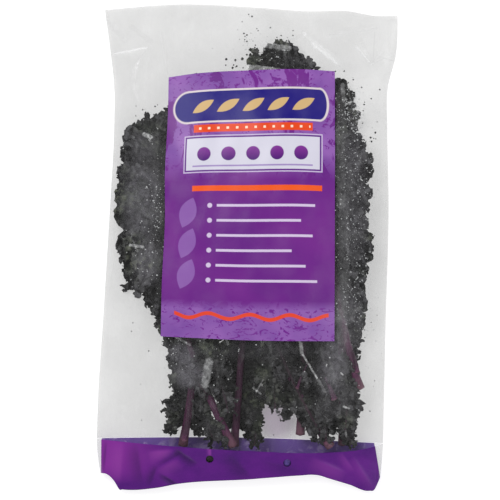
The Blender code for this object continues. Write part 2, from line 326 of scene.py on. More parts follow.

# Soft creases in the front sheet: two pixels, width and height in millimetres, and shine, the strength of
# the highlight painted along each
filmCreases = [
    (110, 56, 146, 46, 2.2, 0.9, 0.8), (141, 58, 132, 78, 1.8, 0.8, 0.8),
    (132, 76, 141, 108, 1.8, 0.9, 0.9), (161, 28, 166, 62, 1.6, 0.6, 0.5),
    (166, 60, 163, 82, 1.6, 0.5, 0.4), (106, 12, 136, 40, 5, 1, 0.3), (172, 30, 200, 50, 4, 0.8, 0.3),
    (303, 29, 340, 66, 3.2, 1.4, 0.8), (312, 40, 352, 70, 2.6, 0.9, 0.5), (356, 43, 373, 62, 1.4, 1, 1.0),
    (373, 62, 382, 50, 1.3, 1, 0.9), (382, 50, 396, 56, 1.4, 0.8, 0.7), (334, 31, 378, 25, 3, 0.7, 0.4),
    (391, 20, 390, 58, 1.2, 0.5, 0.5), (105, 260, 112, 420, 4, 0.8, 0.25), (118, 330, 150, 430, 6, 1, 0.2),
    (380, 120, 378, 300, 3, 0.6, 0.25), (366, 100, 384, 118, 2, 0.6, 0.4),
]
# Creases in the purple end, with their shine painted along them as highlight; those with a negative shine
# get painted shade
endCreases = [
    (176, 449, 197, 464, 3.2, -1.2, -1.0), (184, 450, 157, 466, 3, -1, -0.8),
    (157, 465, 149, 486, 2.6, -0.8, -0.7), (160, 474, 178, 485, 2.4, -1.2, -1.0),
    (158, 471, 182, 458, 4.4, 0.8, 0.5), (148, 453, 175, 450, 5.4, 0.8, 1.0),
    (228, 454, 251, 479, 5.6, -0.8, -0.6), (310, 458, 346, 474, 6.4, 0.9, 0.6),
    (340, 452, 353, 471, 3, 0.6, 0.5), (352, 456, 372, 487, 4, 0.8, 0.4),
    (122, 441, 118, 482, 5.6, 0.8, 0.8), (136, 443, 141, 485, 5, -0.6, -0.5),
    (107, 440, 104, 472, 1.4, 0.4, -0.6), (210, 445, 211, 456, 1.4, 0.6, 1.3),
    (262, 462, 302, 472, 5, -0.6, -0.3),
]
# Where the front sheet clings to the leaves and looks milky: middle pixel, spread in pixels, strength
clinging = [
    (142, 200, 20, 42, 0.95), (146, 146, 16, 14, 0.55), (148, 262, 14, 22, 0.85), (354, 140, 14, 40, 0.55),
    (353, 215, 15, 55, 0.6), (345, 320, 21, 34, 0.7), (333, 368, 15, 26, 0.95), (188, 374, 17, 15, 1.1),
    (182, 352, 16, 9, 0.9), (250, 350, 60, 8, 0.35), (212, 425, 9, 12, 0.3), (334, 402, 18, 16, 0.4),
    (300, 62, 22, 6, 0.25),
]


def creased(x, y, creases):
    # Each crease is a lopsided bell across its line, exp(-(off/width)^2), steep on the left of its way and
    # long on the right, that fades at both ends by a sine; gives the summed lift and shine
    lift = np.zeros_like(x)
    shine = np.zeros_like(x)
    for px1, py1, px2, py2, width, height, bright in creases:
        x1, y1 = fromPhoto(px1, py1)
        x2, y2 = fromPhoto(px2, py2)
        run = (x2 - x1, y2 - y1)
        along = np.clip(((x - x1) * run[0] + (y - y1) * run[1]) / (run[0] ** 2 + run[1] ** 2), 0.01, 0.99)
        off = np.hypot(x - x1 - along * run[0], y - y1 - along * run[1])
        right = (x - x1) * run[1] > (y - y1) * run[0]
        lopsided = width * millimetre * np.where(right, *bag["creaseSides"])
        bell = np.exp(-((off / lopsided) ** 2)) * np.sin(math.pi * along) ** 0.6
        lift += height * millimetre * bell
        shine += bright * bell
    return lift, shine


def edgesAt(y):
    # The bag's left and right edge at a distance along it, by smooth curves through the stations
    left = through([(s[0], s[1]) for s in bag["edges"]], y)
    right = through([(s[0], s[2]) for s in bag["edges"]], y)
    return left, right


def acrossAt(x, y):
    # Where x lies across the bag, from -1 at its left fold to 1 at its right fold
    left, right = edgesAt(y)
    return (2 * x - left - right) / (right - left)


def backHeight(t, y):
    # Level of the back sheet: flat in the middle, rising in a quarter circle to each side fold
    rise = bag["sideRise"] * (bag["thickness"] * through(bag["fullness"], y) + bag["lips"])
    u = np.clip((np.abs(t) - bag["flatShare"]) / (1 - bag["flatShare"]), 0, 1)
    start, length = bag["mouthBend"]
    bend = np.clip((y - start) / length, 0, 1)
    return rise * (1 - np.sqrt(1 - u**2)) + bag["mouthRise"] * bend**2


def frontHeight(t, y):
    # Level of the front sheet: the back sheet's, the gap of the empty bag and a round filling
    t2 = np.clip(np.abs(t), 0, 1)
    fold = np.sqrt(np.clip((1 - t2) / bag["foldShare"], 0, 1))
    filling = bag["thickness"] * through(bag["fullness"], y) * np.sqrt(1 - t2**3)
    return backHeight(t, y) + bag["lips"] * fold + filling


def room(x, y):
    # Lowest and highest level that the leaves take inside the bag
    t = acrossAt(x, y)
    below, above = bag["clearance"]
    low = backHeight(t, y) + bag["film"] + below
    high = frontHeight(t, y) - bag["film"] - above
    return low, np.maximum(high, low)


def frontSheet(x, y, creases=filmCreases):
    # The front sheet as it really lies: its level, long soft swells and its creases, which fade to nothing
    # at the side folds by 1 - t^8
    t = np.clip(acrossAt(x, y), -1, 1)
    lift, shine = creased(x, y, creases)
    swell = sum(height * ripples(x, y * pull, size, seed) for height, pull, size, seed in bag["swells"])
    return frontHeight(t, y) + (lift + swell) * (1 - t**8), shine


def sheetPoints(t, y, front):
    # One sheet of the bag over its plan: points, and the shine of its creases
    left, right = edgesAt(y)
    x = (left + right) / 2 + t * (right - left) / 2
    if front:
        z, shine = frontSheet(x, y)
    else:
        z, shine = backHeight(t, y), np.zeros_like(x)
        height, size, seed = bag["backSwell"]
        z = z + height * (1 + ripples(x, y, size, seed)).clip(0) * (1 - t**8)
    return np.stack([x, y, z], axis=-1), shine


# The clear film
clearFilm = {
    "halfColumns": 90,
    "rows": 200,
    "backLip": 0.0012,
    "level": 0.045,  # where the pixels of its folds are placed
    # Painted reflection of the purple end's light on the back sheet: middle pixel, spread in pixels,
    # strength
    "lilacReflection": [(277, 420, 24, 24, 1.0)],
    "streaks": [  # painted highlights along folds: two pixels, half width in millimetres, strength
        (144, 134, 151, 137, 2.2, 1.0), (148, 136, 150, 141, 1.2, 0.8), (130, 245, 143, 247, 1.5, 0.9),
        (133, 241, 137, 251, 1, 0.5), (209, 362, 205, 384, 4.4, 0.8), (300, 340, 302, 354, 1.8, 0.8),
        (303, 355, 317, 378, 0.9, 1.0), (316, 376, 325, 392, 1.5, 0.5), (344, 407, 349, 409, 1.1, 1.0),
        (341, 373, 343, 375, 0.7, 1.2), (256, 392, 263, 380, 0.8, 0.6), (253, 388, 261, 394, 0.9, 0.6),
        (176, 337, 190, 345, 1.2, 0.5), (225, 336, 228, 344, 1.4, 0.5), (346, 432, 347, 438, 0.8, 0.7),
        (263, 43, 289, 47, 3, 0.75), (248, 66, 279, 70, 2.8, 0.9), (341, 92, 341, 205, 4.6, 0.24),
        (344, 200, 342, 340, 5.4, 0.22), (343, 84, 344, 100, 2.2, 0.5), (346, 104, 352, 101, 1, 1.0),
        (357, 121, 364, 119, 1.2, 0.8), (111, 52, 146, 46, 0.8, 0.8), (146, 46, 137, 62, 0.8, 0.6),
        (137, 62, 134, 77, 0.7, 0.5), (161, 30, 167, 72, 0.7, 0.4), (106, 16, 124, 38, 3.4, 0.35),
        (130, 24, 150, 40, 2.6, 0.3), (291, 39, 306, 31, 1.6, 0.45), (303, 30, 316, 46, 1.8, 0.5),
        (313, 42, 337, 63, 1, 0.7), (320, 44, 341, 66, 0.8, 0.45), (298, 46, 312, 62, 2.4, 0.22),
        (362, 38, 371, 58, 2, 0.25), (356, 43, 372, 63, 0.8, 0.9), (372, 63, 387, 56, 0.7, 0.8),
        (383, 56, 395, 59, 0.7, 0.6), (330, 33, 378, 26, 0.9, 0.4), (376, 30, 374, 60, 0.7, 0.3),
    ],
}


def clearFilmLook():
    # Two thin tints, one for each sheet: painted highlights in the creases and along the folds, milkier
    # where the film clings, and a painted lilac reflection near the print
    look = Look("clear film")
    crease = look.mark("crease")
    front = look.mark("front").clamped()
    cling = look.mark("cling").clamped()
    lilacReflection = look.mark("lilacReflection").clamped()
    cloud = look.noise(0.035, 3, 0.55, 0.4).step(0.35, 0.7)
    thread = look.noise(0.010, 4, 0.6, 1.2, stretch=(1.0, 0.35, 1.0)).step(0.56, 0.70)
    uneven = look.noise(0.011, 3, 0.6, 1.0).step(0.30, 0.70)
    grainy = look.noise(0.0032, 3, 0.7, 0.8).step(0.35, 0.65)
    haze = cling * (0.25 + uneven * 0.45 + grainy * 0.30)
    foldShine = 0
    for *run, wide, strength in clearFilm["streaks"]:
        foldShine = look.streak(*run, wide * millimetre) * strength + foldShine
    foldShine = foldShine.clamped() * front
    # Painted highlights: the creases' shine and the folds are painted pale, with pale threads in the film
    pale = (crease.clamped() + thread * 0.35 + foldShine).clamped()
    look.base = look.mix(front, rgb(140, 140, 139), rgb(98, 98, 98))
    look.coat(haze, rgb(198, 195, 206))
    look.coat(pale, rgb(224, 225, 226))
    # Painted reflection: the back sheet is tinted lilac and made more opaque where the purple end's light
    # falls on it
    look.set(Base_Color=look.mix(lilacReflection, look.base, rgb(160, 138, 166)))
    look.set(Alpha=0.32 - front * 0.25 + cloud * 0.04 + thread * 0.04 + haze * 0.13 + lilacReflection * 0.35
        + crease.clamped() * 0.20 + foldShine * 0.34)
    look.set(Roughness=0.22 + cloud * 0.12)
    look.bump(look.noise(0.006, 3, 0.6, 0.6), 0.0003, 0.5)
    return look


def patched(x, y, patches):
    # Sum of soft round patches, each exp(-d^4) of its distance d in spreads
    total = np.zeros_like(x)
    for px, py, wide, high, strength in patches:
        cx, cy = fromPhoto(px, py, insideLevel)
        far = ((x - cx) / (wide * photo["pixel"])) ** 2 + ((y - cy) / (high * photo["pixel"])) ** 2
        total += strength * np.exp(-(far**2))
    return total


def makeClearFilm():
    # A tube: the front sheet's grid from fold to fold and the back sheet's grid back again, each a straight
    # blend from the purple end's line up to the mouth's line
    half, rows = clearFilm["halfColumns"], clearFilm["rows"]
    t = -np.cos(np.linspace(0, math.pi, half + 1))[None, :]
    share = np.linspace(0, 1, rows)[:, None]
    gap = bag["splitGap"]
    yFront = (through(bag["bandFront"], t) + gap) * (1 - share) + through(bag["mouth"], t) * share
    lip = through(bag["mouth"], t) + clearFilm["backLip"] * (1 - t**4)
    yBack = (through(bag["bandBack"], t) + gap) * (1 - share) + lip * share
    front, shine = sheetPoints(np.broadcast_to(t, yFront.shape), yFront, True)
    back, dull = sheetPoints(np.broadcast_to(t, yBack.shape), yBack, False)
    points = np.concatenate([front, back[:, -2:0:-1]], axis=1)
    onFront = np.concatenate([np.ones_like(shine), np.zeros_like(dull[:, -2:0:-1])], axis=1)
    marks = {
        "crease": np.concatenate([shine, dull[:, -2:0:-1]], axis=1),
        "front": onFront,
        "cling": patched(points[..., 0], points[..., 1], clinging) * onFront,
        "lilacReflection": patched(points[..., 0], points[..., 1], clearFilm["lilacReflection"]) * (1 - onFront),
    }
    faces = gridFaces(rows, points.shape[1], around=True)
    return newPiece("clear_film", points, faces, clearFilmLook(), ["bag_clear_film"], marks)


# The purple end: the print stops short of the side seams, which stay clear
purpleEnd = {
    "columns": 221,
    "rows": 48,
    "gussetRows": 9,
    "ventRadius": 0.0033,
    "frontAbove": 0.012,  # the front sheet is higher than this at the vents
    "vents": [(-0.032, -0.1795), (0.0345, -0.1830)],
    "bottom": [  # as the solids' line, with its left corner cut in
        (-1, -0.1925), (-0.955, -0.1932), (-0.924, -0.1965), (-0.9, -0.2015), (-0.885, -0.2062),
        (-0.86, -0.2066), (-0.63, -0.2054), (-0.45, -0.2015), (0.067, -0.1974), (0.2, -0.1961),
        (0.42, -0.1941), (0.52, -0.1935), (0.56, -0.1941), (0.62, -0.1964), (0.78, -0.2023),
        (0.93, -0.2078), (0.965, -0.2068), (1, -0.196),
    ],
    "flush": (-0.065, 0.045, -0.172, 0.03),  # the magenta part: its right end, width, middle and half height
    "inkEdge": 0.0008,
    "printLeft": [(101.4, 437), (100.6, 473)],
    "printRight": [(374.6, 443.0), (380.8, 479.0)],
}


def purpleEndLook():
    # Ink on film: violet in broad clouds, magenta at the left, painted highlights on the raised creases and
    # painted shade in the deep ones, and paler at the back as painted light
    look = Look("purple film")
    crease = look.mark("crease")
    printed = look.mark("printed").step(0.0, 0.5)
    cloud = look.noise(0.030, 3, 0.55, 0.3).step(0.3, 0.7)
    left = look.mark("left").clamped()
    look.base = look.mix(cloud, rgb(66, 5, 104), rgb(88, 12, 122))
    look.coat(left, rgb(124, 36, 142))
    # Painted highlights where a crease's shine is positive and painted shade where it is negative
    look.coat(crease.clamped() * 0.6, rgb(146, 60, 158))
    look.coat((crease * -1).clamped() * 0.85, rgb(40, 4, 70))
    grain = look.noise(0.0012, 2, 0.6).step(0.4, 0.75)
    look.coat(grain * 0.2, rgb(104, 36, 136))
    # Painted light: the back, seen through the front sheet, is coated a paler lilac for that sheet's haze
    # over it and to lift its shade, in uneven blotches
    backBlotches = look.noise(0.012, 3, 0.6, 0.8).step(0.52, 0.66)
    paintedBackLight = look.mix(backBlotches, rgb(118, 90, 172), rgb(172, 152, 208))
    look.coat(look.mark("behind").clamped() * 0.85, paintedBackLight)
    look.set(Base_Color=look.mix(printed, rgb(150, 150, 150), look.base))
    look.set(Alpha=0.24 + printed * 0.76)
    look.set(Roughness=0.30 + cloud * 0.1)
    look.set(Specular_IOR_Level=0.25)
    look.bump(look.noise(0.005, 3, 0.6, 0.5), 0.0003, 0.5)
    return look


def dropInside(points, faces, centre, radius):
    # Opens a round hole in the front sheet: faces whose middle is inside go, and the rim's points move onto
    # the circle
    flat = points.reshape(-1, 3)
    middles = flat[faces].mean(axis=1)
    inside = np.hypot(middles[:, 0] - centre[0], middles[:, 1] - centre[1]) < radius
    inside &= middles[:, 2] > purpleEnd["frontAbove"]
    rim = np.intersect1d(faces[inside], faces[~inside])
    offset = flat[rim, :2] - centre
    flat[rim, :2] = centre + offset * (radius / np.linalg.norm(offset, axis=1, keepdims=True))
    return faces[~inside]


def makePurpleEnd():
    # One strip: down the front sheet to the bottom line, into the gusset's fold, out again and up the back
    columns, rows, tuck = purpleEnd["columns"], purpleEnd["rows"], purpleEnd["gussetRows"]
    t = np.linspace(-1, 1, columns)[None, :]
    t = np.sign(t) * (1 - (1 - np.abs(t)) ** 1.3)  # closer together at the side folds
    share = np.linspace(1, 0, rows)[:, None]
    bottom = through(purpleEnd["bottom"], t)
    yFront = through(bag["bandFront"], t) * share + bottom * (1 - share)
    yBack = through(bag["bandBack"], t) * share + bottom * (1 - share)
    left, right = edgesAt(yFront)
    spread = np.broadcast_to(t, yFront.shape)
    x = (left + right) / 2 + spread * (right - left) / 2
    z, shine = frontSheet(x, yFront, endCreases)
    front = np.stack([x, yFront, z], axis=-1)
    back, dull = sheetPoints(spread, yBack, False)
    fold = (front[-1] + back[-1]) / 2
    fold[:, 1] += bag["gussetDepth"] * (1 - t[0] ** 6)
    into = np.linspace(0, 1, tuck + 1)[1:, None, None]
    inward = front[-1] * (1 - into) + fold * into
    outward = fold * (1 - into) + back[-1] * into
    points = np.concatenate([front, inward, outward, back[-2::-1]])
    bare = np.zeros((2 * tuck, columns))
    flushX, flushWide, flushY, flushHigh = purpleEnd["flush"]
    y = points[..., 1]
    (lx1, ly1), (lx2, ly2) = (fromPhoto(*p) for p in purpleEnd["printLeft"])
    (rx1, ry1), (rx2, ry2) = (fromPhoto(*p) for p in purpleEnd["printRight"])
    fromLeft = points[..., 0] - (lx1 + (lx2 - lx1) * (y - ly1) / (ly2 - ly1))
    fromRight = (rx1 + (rx2 - rx1) * (y - ry1) / (ry2 - ry1)) - points[..., 0]
    marks = {
        "crease": np.concatenate([shine, bare, dull[-2::-1]]),
        "printed": np.minimum(fromLeft, fromRight) / purpleEnd["inkEdge"],
        "left": (flushX - points[..., 0]) / flushWide * (1 - ((y - flushY) / flushHigh) ** 2).clip(0),
        "behind": np.concatenate([0 * shine, bare, 0 * dull[-2::-1] + 1]),
    }
    faces = gridFaces(len(points), columns)
    for centre in purpleEnd["vents"]:
        faces = dropInside(points, faces, np.array(centre), purpleEnd["ventRadius"])
    nodes = ["bag_purple_end"]
    return newPiece("purple_end", points, faces, purpleEndLook(), nodes, marks, 0.00002)


# The printed panel: outline through pixels of the photograph at the panel's level, left to right and up
panel = {
    "columns": 90,
    "rows": 150,
    "level": 0.050,
    "lift": 0.00035,
    "top": [(0, 168.2, 76.2), (0.2, 199, 72.1), (0.5, 250, 69.3), (0.78, 297, 67.9), (1, 335.4, 70.1)],
    "bottom": [
        (0, 160.6, 336.4), (0.3, 210, 338.7), (0.46, 240, 340.1), (0.63, 270, 340.8), (1, 334.6, 341.4),
    ],
    "leftBow": [(0, 0.0), (0.2, -0.4), (0.45, 0.8), (0.62, -0.6), (0.85, 0.5), (1, 0.0)],
}


def panelLook():
    # A generic print: lilac brush marks, a navy ribbon with gold leaves, a plate, pale bars, orange lines
    look = Look("panel print")
    uv = look.node("ShaderNodeUVMap", {"uv_map": "print"})
    parts = look.node("ShaderNodeSeparateXYZ", {}, {0: uv})
    x = parts * 149
    y = Value(look, parts.socket.node.outputs[1]) * 233
    place = look.node("ShaderNodeCombineXYZ", {}, {0: x, 1: y})

    def box(cx, cy, halfWide, halfHigh, soft=0.5):
        # 1 inside an upright box, 0 outside
        side = (halfWide - abs(x - cx)).step(-soft / 2, soft / 2)
        end = (halfHigh - abs(y - cy)).step(-soft / 2, soft / 2)
        return side * end

    def oval(cx, cy, halfWide, halfHigh, soft=0.04):
        far = (((x - cx) / halfWide) ** 2 + ((y - cy) / halfHigh) ** 2) ** 0.5
        return (1 - far).step(-soft, soft)

    def leafShape(cx, cy, halfLong, halfHigh, lean):
        # Where two discs meet: pointed at both ends, leaning by lean up per unit across
        along = (x - cx) * math.cos(lean) + (y - cy) * math.sin(lean)
        off = (y - cy) * math.cos(lean) - (x - cx) * math.sin(lean)
        return (halfHigh * (1 - (along / halfLong) ** 2) - abs(off)).step(-0.2, 0.3)

    brush = look.noise(24, 4, 0.60, 1.4, where=place, stretch=(1.0, 0.7, 1.0)).step(0.43, 0.46)
    dabs = look.noise(6.5, 3, 0.6, 1.8, where=place, stretch=(0.8, 1.2, 1.0)).step(0.585, 0.61)
    upper = y.step(138, 160)
    lower = 1 - y.step(26, 34)
    region = upper.above(lower)
    broad = look.noise(60, 2, 0.5, where=place).step(0.35, 0.65)
    look.base = look.mix(broad, rgb(94, 24, 122), rgb(108, 34, 130))
    finer = look.noise(30, 2, 0.5, where=place).step(0.35, 0.65)
    pale = look.mix(finer, rgb(116, 70, 150), rgb(138, 90, 166))
    look.coat(region * brush.above(lower), pale)
    look.coat(region * dabs, rgb(104, 32, 130))

    side = leafShape(22, 110, 14, 8.0, 1.2)
    for cy in (83, 56):
        side = side.above(leafShape(22, cy, 14, 8.0, 1.2))
    look.coat(side * 0.9, rgb(132, 88, 162))

    ribbon = box(78, 203, 58, 13).above(oval(20, 203, 13, 13)).above(oval(136, 203, 6, 13))
    rim = box(78, 203, 59.4, 14.6).above(oval(20, 203, 14.8, 14.6)).above(oval(136, 203, 8, 14.6))
    look.coat(rim, rgb(206, 196, 198))
    look.coat(ribbon, rgb(20, 8, 112))
    gold = leafShape(34, 203, 11, 4.0, 0.5)
    for cx in (56, 78, 100, 122):
        gold = gold.above(leafShape(cx, 203, 11, 4.0, 0.5))
    look.coat(gold, rgb(196, 164, 112))
    stripe = box(78, 183.5, 52, 3.4)
    look.coat(stripe, rgb(216, 66, 16))
    beads = ((x - 30) * (2 * math.pi / 8)).wave().step(0.55, 0.75) * box(78, 183.5, 50, 1.0)
    look.coat(beads, rgb(238, 214, 190))

    plate = box(78, 161, 58, 14.0)
    look.coat(box(78, 161, 60.4, 16.4), rgb(190, 176, 206))
    look.coat(box(78, 161, 59.4, 15.4), rgb(88, 26, 124))
    look.coat(plate, rgb(200, 198, 212))
    dots = oval(36, 161, 6, 6)
    for cx in (57, 78, 99, 120):
        dots = dots.above(oval(cx, 161, 6, 6))
    look.coat(dots, look.mix(y.step(155, 167), rgb(66, 12, 104), rgb(122, 44, 140)))
    look.coat(box(78, 150.5, 52, 0.7), rgb(150, 130, 180))

    line = box(82, 131, 56, 2.4)
    look.coat(line, rgb(226, 84, 22))
    rows = box(90, 116, 42, 1.1)
    bullets = oval(42, 116, 2.1, 2.1, 0.15)
    for number, cy in enumerate((103, 90, 77, 64, 51)):
        halfWide = (36, 41, 32, 38, 43)[number]
        rows = rows.above(box(48 + halfWide, cy, halfWide, 1.1))
        bullets = bullets.above(oval(42, cy, 2.1, 2.1, 0.15))
    look.coat(rows.above(bullets) * 0.9, rgb(206, 192, 218))
    wavy = (1.7 - abs(y - 20 - (x * (2 * math.pi / 34)).wave() * 2.2)).step(-0.25, 0.25)
    look.coat(wavy * box(78, 20, 66, 6), rgb(214, 66, 40))

    haze = look.noise(45, 3, 0.6, where=place).step(0.45, 0.8)
    look.set(Base_Color=look.mix(haze * 0.05, look.base, rgb(190, 170, 200)))
    look.set(Roughness=0.30 + haze * 0.12)
    look.set(Specular_IOR_Level=0.2)
    look.bump(look.noise(9, 3, 0.6, 0.5, where=place), 0.0004, 0.4)
    return look


def makePanel():
    # A sheet between its bottom and top line, a straight blend for each u across, laid on the front sheet
    u, v = np.meshgrid(np.linspace(0, 1, panel["columns"]), np.linspace(0, 1, panel["rows"]))
    topX = through([(s[0], s[1]) for s in panel["top"]], u)
    topY = through([(s[0], s[2]) for s in panel["top"]], u)
    lowX = through([(s[0], s[1]) for s in panel["bottom"]], u)
    lowY = through([(s[0], s[2]) for s in panel["bottom"]], u)
    px = lowX * (1 - v) + topX * v + through(panel["leftBow"], v) * (1 - u) ** 4
    py = lowY * (1 - v) + topY * v
    x, y = fromPhoto(px, py, panel["level"])
    z, _ = frontSheet(x, y)
    points = np.stack([x, y, z + panel["lift"]], axis=-1)
    marks = {"print": np.stack([u, v], axis=-1)}
    faces = gridFaces(panel["rows"], panel["columns"])
    return newPiece("front_panel", points, faces, panelLook(), ["printed_panel"], marks)


# The leaves: layer, cut end, tip, sideways bow, half width, share of the length that is bare stem
leaves = [
    ("front", (-0.0121, -0.1681), (-0.0767, 0.1215), -0.020, 0.0410, 0.33),
    ("front", (0.0715, -0.1690), (-0.0026, 0.0733), -0.019, 0.0230, 0.06),
    ("front", (0.0965, -0.1190), (0.0776, 0.1138), -0.013, 0.0435, 0.27),
    ("middle", (-0.0552, -0.1681), (-0.0457, 0.1560), 0.012, 0.0350, 0.06),
    ("middle", (0.0457, -0.1586), (0.0259, 0.1827), 0.010, 0.0430, 0.07),
    ("back", (-0.0509, -0.0948), (-0.0940, 0.0862), -0.009, 0.0340, 0.16),
    ("back", (-0.0112, -0.1690), (0.0129, 0.1336), 0.000, 0.0370, 0.06),
    ("back", (0.0828, -0.1681), (0.0767, 0.1500), 0.000, 0.0260, 0.06),
]
layers = {"back": 0.16, "middle": 0.50, "front": 0.84, "top": 0.96, "between": 0.70}
# Small leaflets that grow on the stems: layer, foot and tip in pixels, bow and half width in metres, size
leaflets = [
    ("top", (228, 412), (194, 338), 0.005, 0.0140, 0.30),
    ("top", (206, 392), (186, 352), -0.003, 0.0110, 0.24),
    ("top", (345, 430), (338, 352), 0.004, 0.0135, 0.30),
    ("top", (326, 441), (318, 396), 0.002, 0.0105, 0.24),
    ("between", (214, 441), (202, 384), -0.003, 0.0105, 0.26),
    ("between", (254, 446), (250, 398), 0.003, 0.0095, 0.24),
    ("top", (350, 424), (360, 398), -0.001, 0.0075, 0.18),
    ("top", (224, 446), (214, 420), 0.001, 0.0065, 0.16),
    ("between", (352, 446), (346, 418), -0.002, 0.0085, 0.18),
    ("between", (172, 430), (167, 398), 0.001, 0.0075, 0.18),
    ("top", (275, 408), (262, 352), 0.003, 0.0125, 0.28),
    ("top", (257, 74), (255, 47), -0.001, 0.0080, 0.18),
    ("top", (312, 76), (305, 55), 0.001, 0.0070, 0.16),
]
# Painted shade in hollows and paler olive parts among the leaves: middle pixel, spread in pixels, strength
hollows = [
    (228, 380, 11, 9, 1.0), (201, 362, 5, 9, 1.0), (291, 358, 11, 13, 0.9), (286, 388, 24, 12, 0.55),
    (312, 398, 9, 12, 0.8), (275, 358, 24, 18, 0.55), (285, 60, 20, 8, 0.8), (127, 178, 9, 6, 0.6),
    (142, 152, 10, 5, 0.5), (240, 352, 14, 8, 0.6), (186, 428, 6, 14, 0.5), (330, 425, 14, 12, 0.4),
]
olives = [
    (215, 347, 20, 11, 1.0), (264, 373, 8, 10, 0.8), (262, 425, 6, 14, 0.8), (119, 213, 7, 8, 1.0),
    (115, 196, 4, 7, 0.8), (132, 244, 14, 9, 0.8), (141, 262, 14, 8, 0.5), (150, 128, 16, 6, 0.5),
    (346, 421, 9, 9, 0.6), (212, 408, 8, 12, 0.4), (350, 110, 10, 20, 0.4),
]
blade = {
    "columns": 960,
    "rows": 42,
    "folds": 36,  # a quarter of a wave each, along one side
    "form": [(0, 0.66), (0.12, 0.76), (0.3, 0.90), (0.5, 1.0), (0.75, 0.97), (1, 0.80)],
    "tipRadius": 0.80,
    "lobes": [(0.07, 3.3, 1.0), (0.06, 5.7, 2.1)],
    "crowding": [(0.016, 3, 1.3), (0.006, 7, 2.9)],
    "baseAngle": 132,
    "veinPower": 5,
    "ruffle": 0.42,
    "notches": (0.08, 0.24),
    "curl": (0.0030, 0.0100),  # height and length of the second folds
    "frill": (0.0017, 0.0048),  # and of the finest ones
    "blister": (0.0012, 0.0066),
    "crinkle": (0.0006, 0.0034),
    "lobe": (0.0034, 0.0120),  # depth and length of the margin's lobes
    "tooth": (0.0016, 0.0034),
    "fringe": (0.0005, 0.0019),
    "wider": [  # leaf, side, place along the blade, its spread, share
        (3, 1, 0.72, 0.09, -0.09), (3, 1, 0.48, 0.12, 0.16), (1, -1, 0.6, 0.25, 0.1),
        (4, -1, 0.1, 0.1, 0.12), (5, -1, 0.91, 0.06, 0.2), (5, 1, 0.93, 0.05, -0.1),
        (6, -1, 0.08, 0.22, -0.3), (6, -1, 0.66, 0.24, 0.24), (7, 1, 0.15, 0.09, 0.36),
    ],
    "slab": 0.165,  # of the local room, to each side of the leaf's layer
    "fluff": 0.95,  # how much thicker the margin's frills stand
    "ceiling": 0.995,
    "sideLimit": 0.978,
}
# Short stalks of broken leaflets: foot and tip in pixels, bow in metres, size
stalks = [
    ((334, 399), (325, 377), 0.0004, 0.75), ((297, 388), (308, 362), -0.0006, 0.4),
    ((357, 372), (352, 350), 0.0006, 0.6), ((184, 440), (190, 392), 0.001, 0.7),
]
stem = {
    "radii": [(0.0, 0.0042), (0.05, 0.0036), (0.3, 0.0030), (0.7, 0.0017), (1.0, 0.0009)],
    "rings": 110,
    "sides": 16,
    "ribs": 0.05,  # height of its five ribs, as a share of the radius
    "dome": 0.35,  # height of its ends, too
    "domeRings": (0.8, 0.45, 0.0),
    "easedBy": 0.7,
    "ribGap": 0.0012,
    "raised": (4,),  # leaves whose rib shows on top
}


def spine(leaf, share):
    # Plan of a midrib: a straight run from cut end to tip, bowed sideways by a parabola
    _, cut, tip, bow, _, _ = leaf
    cut, tip = np.array(cut), np.array(tip)
    share = np.asarray(share, float)[..., None]
    run = tip - cut
    side = np.array([-run[1], run[0]]) / np.hypot(*run)
    point = cut + run * share - side * bow * 4 * share * (1 - share)
    ahead = run - side * bow * 4 * (1 - 2 * share)
    return point, ahead / np.linalg.norm(ahead, axis=-1, keepdims=True)


def ribEnd(leaf):
    # Where the midrib ends, as a share of the leaf: the tip's radius short of its end
    _, cut, tip, _, halfWidth, _ = leaf
    return 1 - blade["tipRadius"] * halfWidth / math.dist(cut, tip)


def levelOf(leaf, x, y):
    # Height of the leaf's own layer over a place, and the room there
    low, high = room(x, y)
    return low + layers[leaf[0]] * (high - low), high - low


def kaleLook():
    # Painted shade in the hollows and painted highlights on the crests of the folds, with grey-green patches
    # and fine painted wet glints
    look = Look("kale blade")
    fold = look.mark("fold")
    patches = look.noise(0.020, 3, 0.6, 0.8).step(0.40, 0.62)
    specks = look.noise(0.0030, 4, 0.70, 0.6).step(0.36, 0.70)
    look.base = look.mix(patches, rgb(10, 9, 12), rgb(36, 34, 38))
    olive = look.mark("olive").clamped()
    green = (look.noise(0.034, 2, 0.5, 0.5).step(0.52, 0.68) + olive).clamped()
    look.coat(green * 0.6, rgb(42, 54, 32))
    clumps = look.noise(0.0065, 3, 0.6, 0.8).step(0.50, 0.70)
    look.coat(clumps * 0.35, rgb(80, 80, 80))
    # Painted highlight on the crests of the folds, and painted shade in their valleys
    crest = look.mix(green, rgb(103, 103, 107), rgb(112, 116, 92))
    look.coat(fold.step(0.25, 1.4) * (0.40 + patches * 0.22 + olive * 0.15), crest)
    look.coat(fold.step(0.0, -0.8) * 0.85, rgb(7, 7, 8))
    look.coat(specks * 0.36, rgb(82, 82, 83))
    # Painted shade in the hollows among the leaves
    look.coat(look.mark("shade").clamped() * 0.6, rgb(8, 8, 9))
    # Painted highlights: fine pale glints as of wet leaves
    glints = look.noise(0.0013, 2, 0.6).step(0.66, 0.72)
    look.coat(glints * 0.45, rgb(170, 174, 170))
    veins = (1 - look.mark("reach").step(0.03, 0.12)) * (1 - look.mark("base").step(0.05, 0.35))
    look.coat(veins * 0.6, rgb(70, 34, 58))
    look.set(Base_Color=look.base, Roughness=0.5 + specks * 0.2)
    look.set(Specular_IOR_Level=0.25)
    look.bump(look.noise(0.0020, 3, 0.6, 0.4) + specks * 0.5, 0.0008, 0.9)
    return look


